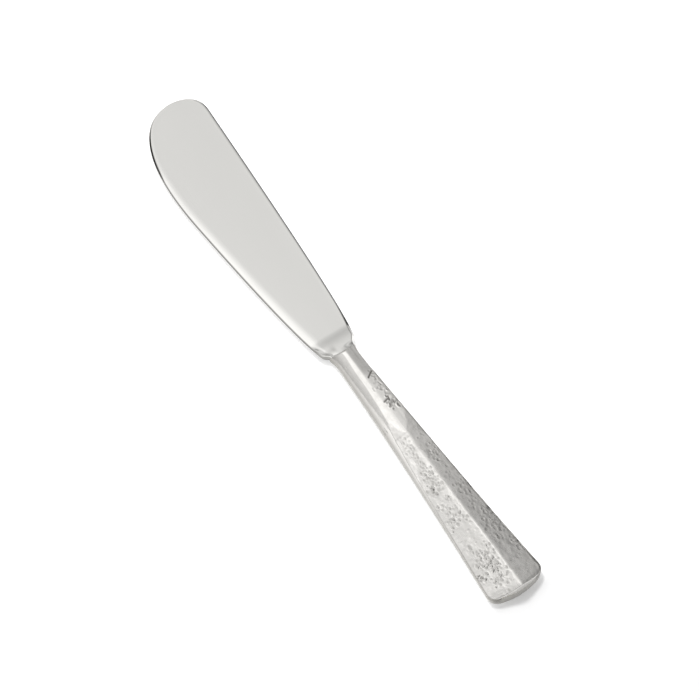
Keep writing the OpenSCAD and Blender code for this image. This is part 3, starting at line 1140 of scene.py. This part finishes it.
    def collar_lines(self, upper: Array, lower: Array) -> Array:
        """Return the rows that close the step between the bolster and the handle's mouth.

        Args:
            upper: The upper face's line (columns, 3) at the mouth.
            lower: The lower face's line at the mouth.

        Returns:
            Rows (collar_rows, columns * 2 - 2, 3), the one in the mouth first.
        """
        tall = upper.copy()
        tall[:, 2] = self.collar(upper[:, 1] / self.root_half())
        tall[:, 0] = -self.rake(tall[:, 2])
        near, far = (np.concatenate([line, lower[-2:0:-1]]) for line in (upper, tall))
        far[:, 0] -= self.collar_depth
        shares = np.linspace(1.0, 0.0, self.collar_rows + 1)[:-1, None, None]
        return lerp(near[None], far[None], shares)

    def spread(self, rim: float, bevel: float) -> Array:
        """Return the columns' places across the blade, from 0 to 1, closest at both edges.

        Args:
            rim: Width of the spine's round as a share of the blade's width.
            bevel: Width of the bevel as a share of the blade's width.

        Returns:
            Rising values, one for each column.
        """
        turn = 1.0 - np.cos(np.linspace(0.0, math.pi / 2, self.rim_columns))
        face = np.linspace(rim, 1.0 - bevel, self.columns - self.rim_columns - self.bevel_columns + 2)
        ground = 1.0 - bevel * np.linspace(1.0, 0.0, self.bevel_columns) ** self.bevel_crowding
        return np.concatenate([rim * turn, face[1:-1], ground])

    def stations(self) -> Array:
        """Return the distances from the mouth at which sections lie."""
        root_count, heel_count, straight_count, turn_count = self.station_counts
        heel_end, sweep_start = self.ramp_spine + self.heel_margin, self.length - self.edge.sweep
        root = np.linspace(0.0, self.root_rake_length, root_count)
        heel = np.linspace(self.root_rake_length, heel_end, heel_count)[1:]
        straight = np.linspace(heel_end, sweep_start, straight_count)[1:]
        turn = np.sin(np.linspace(0.0, math.pi / 2 * self.tip_reach, turn_count))[1:]
        return np.concatenate([root, heel, straight, self.length - self.edge.sweep * (1.0 - turn)])

    def mesh(self) -> Mesh:
        """Build the blade, its bolster and its tang as one closed mesh."""
        stations = self.stations()
        upper, lower = (np.stack([self.half_line(x, side) for x in stations]) for side in (1, -1))
        ring = np.concatenate([upper, lower[:, -2:0:-1]], axis=1)
        ring = np.concatenate([self.collar_lines(upper[0], lower[0]), ring])
        mesh = Mesh("knife_blade")
        numbers = mesh.add(ring, self.residue_and_painted_shade(ring))
        mesh.grid(np.concatenate([numbers, numbers[:, :1]], axis=1)[::-1])
        mesh.face(numbers[-1][::-1])
        collar = self.tang(mesh)
        mesh.zip(np.append(collar, collar[0]), np.append(numbers[0], numbers[0][0]))
        return mesh

    def residue_and_painted_shade(self, ring: Array) -> Array:
        """Return how dark the steel is drawn: residue and painted shade in the step at the mouth, painted
        dark lines along the outer edges, and painted shade under the heel and on the bolster's shoulder.
        """
        x, y, z = ring[..., 0], ring[..., 1], ring[..., 2]
        near = np.exp(-(((x - ring[:1, :, 0]) / self.step_width) ** 2))
        # The step is drawn dark on the cutting edge's side only: residue, and painted shade.
        step = near * between(y, *self.step_rise) * between(y, *self.step_fall) * (z > self.step_height)
        from_edge = y.max(axis=1, keepdims=True) - y
        from_spine = y - y.min(axis=1, keepdims=True)
        tip = between(x, *self.tip_edge_run)
        heel = 1.0 - between(x, *self.heel_shade_run)
        # Painted dark lines along the cutting edge, the tip and the spine, for the dark surroundings they
        # reflect.
        edge = clamp(self.line_shade_margin - from_edge / lerp(self.edge_round, self.tip_edge_round, tip))
        edge = edge * lerp(self.edge_line_shade, self.tip_line_shade, tip)
        spine = clamp(self.line_shade_margin - from_spine / lerp(self.spine_chamfer, self.heel_chamfer, heel))
        spine = spine * self.spine_line_shade * between(x, *self.spine_line_run)
        spine = spine * lerp(1.0, self.heel_darkening, between(x, *self.heel_dark_run))
        # Painted shade under the heel and on the bolster's shoulder.
        under = between(z, *self.under_heights) * between(y, *self.under_places) * heel * self.under_heel_shade
        middle, reach = self.shoulder_shade_place
        shoulder = np.exp(-(((x - middle) / reach) ** 2)) * between(y, *self.shoulder_places)
        return clamp(np.maximum.reduce([step, edge, spine, under, shoulder * self.shoulder_shade]))

    def tang(self, mesh: Mesh) -> Array:
        """Add the tang to the mesh.

        Args:
            mesh: Mesh that the tang goes into.

        Returns:
            Point numbers of the tang's outline where it leaves the bolster.
        """
        turn = np.linspace(math.pi, -math.pi, self.tang_points)[:-1]
        height = self.handle.parting_height - self.handle.braze_gap / 2
        outline = np.stack([np.zeros_like(turn), np.cos(turn), np.sin(turn)], axis=1)
        outline = np.sign(outline) * np.abs(outline) ** self.tang_power
        rings = []
        for share in np.linspace(0.0, 1.0, self.tang_rings):
            size = lerp(1.0, self.tang_end, share) / 2
            scale = np.array([0.0, self.tang_width * size, self.tang_thickness * size])
            rings.append(outline * scale + (-share * self.tang_length, 0.0, height))
        numbers = mesh.add(np.stack(rings))
        mesh.grid(np.concatenate([numbers, numbers[:, :1]], axis=1))
        mesh.face(numbers[-1])
        return numbers[0]


# Studio


@dataclass(frozen=True)
class Flag:
    """A dark cloth low in the tent, which gives polished edges their dark line."""

    heading: float
    reach: Pair
    top: Pair
    level: float


@dataclass(frozen=True)
class Studio:
    """A white sweep in a soft light tent, and the camera that looks down on the knife."""

    # Camera
    azimuth: float = -123.55
    elevation: float = 62.15
    distance: float = 900.0
    aim: tuple[float, float, float] = (0.0, 0.0, 2.5)
    slide_right: float = 1.898
    slide_up: float = 0.806
    focal_pixels: float = 3461.7
    picture_pixels: float = 700.0
    sensor_width: float = 36.0
    clip_start: float = 10.0

    # Floor
    floor_size: float = 8000.0
    floor_drop: float = 0.02
    floor_tone: str = "#F8F8F8"
    # Painted light: the floor's glow, which washes out the knife's shadow everywhere but behind the butt
    # line.
    shadow_wash_glow: Pair = (0.0, 0.36)
    glow_fade_line: Pair = (-82.0, -77.0)

    # Light of the tent by tilt in degrees from overhead towards +Y, and by the direction's X
    tent_bands: tuple[Pair, ...] = (
        *((-180.0, 0.5), (-120.0, 0.3), (-92.0, 0.06), (-78.0, 0.17), (-66.0, 0.42), (-58.0, 0.56)),
        *((-50.0, 0.6), (-44.0, 0.67), (-36.0, 0.79), (-27.0, 0.91), (-22.0, 0.95), (-14.0, 0.99)),
        *((-8.0, 1.18), (-3.0, 1.4), (3.0, 1.5), (8.0, 1.43), (12.0, 1.28), (16.0, 1.15), (22.0, 1.02)),
        *((28.0, 0.97), (40.0, 0.96), (55.0, 0.96), (70.0, 0.92), (85.0, 0.85), (95.0, 0.8)),
        *((120.0, 0.45), (179.0, 0.5)),
    )
    tent_ends: tuple[Pair, ...] = (
        *((-0.7, 0.5), (-0.35, 1.0), (-0.2, 1.0), (-0.09, 0.72)),
        *((0.09, 0.72), (0.19, 1.0), (0.4, 1.0), (0.95, 0.8)),
    )
    flags: tuple[Flag, ...] = (
        Flag(35.0, (13.0, 16.0), (0.52, 0.62), 0.03),
        Flag(-90.0, (40.0, 60.0), (0.1, 0.35), 0.4),
    )
    lamp_place: tuple[float, float, float] = (300.0, 25.0, 900.0)
    lamp_size: float = 220.0
    lamp_power: float = 3.5

    def build(self) -> None:
        """Make the world, the floor, the lamp and the camera."""
        self.tent()
        self.floor()
        self.lamp()
        self.camera()

    def tent(self) -> None:
        """Make the world: a tent that is brightest a little to the cutting edge's side of overhead.

        A band straight above is dimmer, so that the blade doesn't clip to white from there, and low
        dark flags stand beside the knife.
        """
        world = bpy.data.worlds.new("light_tent")
        bpy.context.scene.world = world
        tree = cleared(world)
        heading = add_node(tree, "ShaderNodeTexCoord").outputs["Generated"]
        parts = add_node(tree, "ShaderNodeSeparateXYZ", links={"Vector": heading}).outputs
        tilt, compass = (
            add_node(tree, "ShaderNodeMath", {"operation": "ARCTAN2"}, {0: parts["Y"], 1: parts[axis]})
            for axis in ("Z", "X")
        )
        peak = max(level for _, level in self.tent_bands)
        bands = [(math.radians(angle), level / peak) for angle, level in self.tent_bands]
        level = self.graded(tree, tilt, math.pi, bands)
        shades = [self.graded(tree, parts["X"], 1.0, self.tent_ends)]
        shades += [self.shaded(tree, flag, compass, parts["Z"]) for flag in self.flags]
        for shade in shades:
            level = add_node(tree, "ShaderNodeMath", {"operation": "MULTIPLY"}, {0: level, 1: shade})
        strength = add_node(tree, "ShaderNodeMath", {"operation": "MULTIPLY", 1: peak}, {0: level})
        cloth = add_node(tree, "ShaderNodeBackground", {"Color": linear(WHITE)}, {"Strength": strength})
        add_node(tree, "ShaderNodeOutputWorld", links={"Surface": cloth})

    @staticmethod
    def graded(tree: bpy.types.NodeTree, source: Source, reach: float, stops: Sequence[Pair]) -> Source:
        """Add nodes that turn a value into a level, in straight steps from stop to stop.

        Args:
            tree: The world's nodes.
            source: The value.
            reach: The value's largest size on either side of zero.
            stops: Rising values, each with its level from 0 to 1.

        Returns:
            The level.
        """
        ends = {"From Min": -reach, "From Max": reach}
        share = add_node(tree, "ShaderNodeMapRange", ends, {"Value": source})
        ramp = add_node(tree, "ShaderNodeValToRGB", links={"Fac": share})
        ramp.color_ramp.interpolation = "LINEAR"
        marks = ramp.color_ramp.elements
        while len(marks) > 1:
            marks.remove(marks[-1])
        for number, (value, level) in enumerate(stops):
            place = (value + reach) / (2 * reach)
            mark = marks[0] if number == 0 else marks.new(place)
            mark.position = place
            mark.color = (level, level, level, 1.0)
        return ramp

    @staticmethod
    def shaded(tree: bpy.types.NodeTree, flag: Flag, compass: Source, height: Source) -> Source:
        """Add the nodes of one flag in the tent.

        Args:
            tree: The world's nodes.
            flag: The flag.
            compass: Heading of each direction, in radians from +X towards +Y.
            height: Sine of each direction's height over the horizon.

        Returns:
            The light that the flag lets through, from its level to 1.
        """
        turning = {"operation": "SUBTRACT", 1: math.radians(flag.heading)}
        turned = add_node(tree, "ShaderNodeMath", turning, {0: compass})
        beside = add_node(tree, "ShaderNodeMath", {"operation": "ABSOLUTE"}, {0: turned})
        sides = [math.radians(angle) for angle in flag.reach]
        past = []
        for source, (low, high) in ((beside, sides), (height, flag.top)):
            ends = {"interpolation_type": "SMOOTHSTEP", "From Min": low, "From Max": high}
            past.append(add_node(tree, "ShaderNodeMapRange", ends, {"Value": source}))
        outside = add_node(tree, "ShaderNodeMath", {"operation": "MAXIMUM"}, dict(enumerate(past)))
        return add_node(tree, "ShaderNodeMapRange", {"To Min": flag.level}, {"Value": outside})

    def floor(self) -> None:
        """Make the white floor, whose painted glow washes out the knife's shadow everywhere but behind the
        butt.
        """
        sheet = Mesh("studio_floor")
        reach = self.floor_size / 2
        corners = np.array([(-reach, -reach, 0), (reach, -reach, 0), (reach, reach, 0), (-reach, reach, 0)])
        sheet.face(sheet.add(corners.astype(float)))
        made = sheet.build()
        made.location.z = -self.floor_drop * MM
        # Matt white board gives an even ground without reflections. Its glow is painted light: it keeps the
        # board near white and washes out the knife's shadow, but for the shadow behind the butt.
        material = bpy.data.materials.new("white_sweep")
        tree = cleared(material)
        board = add_node(tree, "ShaderNodeBsdfDiffuse", {"Color": linear(self.floor_tone)})
        place = add_node(tree, "ShaderNodeTexCoord").outputs["Object"]
        parts = add_node(tree, "ShaderNodeSeparateXYZ", links={"Vector": place})
        low, high = self.glow_fade_line
        levels = {
            "interpolation_type": "SMOOTHSTEP",
            "From Min": low * MM,
            "From Max": high * MM,
            "To Min": self.shadow_wash_glow[0],
            "To Max": self.shadow_wash_glow[1],
        }
        lift = add_node(tree, "ShaderNodeMapRange", levels, {"Value": parts.outputs["X"]})
        rays = add_node(tree, "ShaderNodeLightPath").outputs
        direct = rays["Is Camera Ray"]
        for kind in ("Is Glossy Ray", "Is Transmission Ray"):
            direct = add_node(tree, "ShaderNodeMath", {"operation": "MAXIMUM"}, {0: direct, 1: rays[kind]})
        seen = add_node(tree, "ShaderNodeMath", {"operation": "MULTIPLY"}, {0: direct, 1: lift})
        glow = add_node(tree, "ShaderNodeEmission", {"Color": linear(WHITE)}, {"Strength": seen})
        both = add_node(tree, "ShaderNodeAddShader", links={0: board, 1: glow})
        add_node(tree, "ShaderNodeOutputMaterial", links={"Surface": both})
        made.data.materials.append(material)

    def lamp(self) -> None:
        """Make the one soft lamp, beyond the blade's tip, that lays the shadow behind the butt."""
        data = bpy.data.lights.new("key_lamp", "AREA")
        data.shape = "DISK"
        data.size = self.lamp_size * MM
        data.energy = self.lamp_power
        made = bpy.data.objects.new("key_lamp", data)
        made.location = Vector(self.lamp_place) * MM
        made.rotation_mode = "QUATERNION"
        made.rotation_quaternion = (-made.location).to_track_quat("-Z", "Y")
        made.visible_glossy = False
        made.visible_camera = False
        bpy.context.scene.collection.objects.link(made)

    def camera(self) -> None:
        """Make the camera at the photograph's angle and distance."""
        a, e = math.radians(self.azimuth), math.radians(self.elevation)
        back = Vector((math.sin(a) * math.cos(e), -math.cos(a) * math.cos(e), math.sin(e)))
        right = Vector((math.cos(a), math.sin(a), 0.0))
        up = back.cross(right)
        data = bpy.data.cameras.new("camera")
        data.sensor_width = self.sensor_width
        data.lens = self.focal_pixels / self.picture_pixels * self.sensor_width
        data.clip_start = self.clip_start * MM
        made = bpy.data.objects.new("camera", data)
        place = Vector(self.aim) + back * self.distance + right * self.slide_right + up * self.slide_up
        made.location = place * MM
        made.rotation_mode = "QUATERNION"
        made.rotation_quaternion = (-back).to_track_quat("-Z", "Y")
        bpy.context.scene.collection.objects.link(made)
        bpy.context.scene.camera = made
        bpy.context.scene.view_settings.view_transform = "Standard"


# Assembly


def dress(piece: bpy.types.Object, material: bpy.types.Material, node: str) -> None:
    """Give a piece its material and let it stand for its CAD node.

    Args:
        piece: The piece.
        material: Its material.
        node: The CAD node that it replaces.
    """
    piece.data.materials.clear()
    piece.data.materials.append(material)
    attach(piece, "root")
    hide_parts(node)
    log.info("%s: %d faces, stands for %s", piece.name, len(piece.data.polygons), node)


def refinish(node: bpy.types.Object, material: bpy.types.Material) -> None:
    """Give a CAD node that stays in view a better material."""
    node.data.materials.clear()
    node.data.materials.append(material)
    log.info("%s: keeps its CAD shape", node.name)


def main() -> None:
    """Build the knife around its frame, then the studio."""
    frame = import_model()
    handle = Handle()
    blade = Blade(handle)
    steel = BuffedStainless().build()
    forged = ForgedStainless().build()
    dress(blade.mesh().build(blade.sharp_angle), steel, "blade")
    front = handle.shell(Half.FRONT, FrontRelief())
    dress(front.build(handle.sharp_angle), forged, "handle_front")
    back = handle.shell(Half.BACK, None)
    # Tumbling in a barrel gives a rougher finish that blurs what it reflects. Its darker grey is painted
    # shade, for the shaded floor that the back's walls reflect.
    painted_darker_steel = ForgedStainless("back_stainless_painted_shade", "#C9C7C3", "#BDBBB6", forged_roughness=0.3).build()
    dress(back.build(handle.sharp_angle), painted_darker_steel, "handle_back")
    # Filing gives the solder a soft yellowish sheen, and cement is matt, sandy and dark. The specks of
    # both are drawn coarser than real so that they show.
    solder = SpeckledFill("filed_silver_solder", "#BFBCB0", "#A8A597", 0.4, 1.0, 0.3)
    cement = SpeckledFill("handle_cement", "#6B6862", "#4F4C47", 0.8, 0.0, 0.85)
    refinish(frame["nodes"]["seam_braze"], solder.build())
    refinish(frame["nodes"]["filler"], cement.build())
    Studio().build()


if __name__ == "__main__":
    logging.basicConfig(level=logging.INFO, format="%(name)s: %(message)s")
    main()
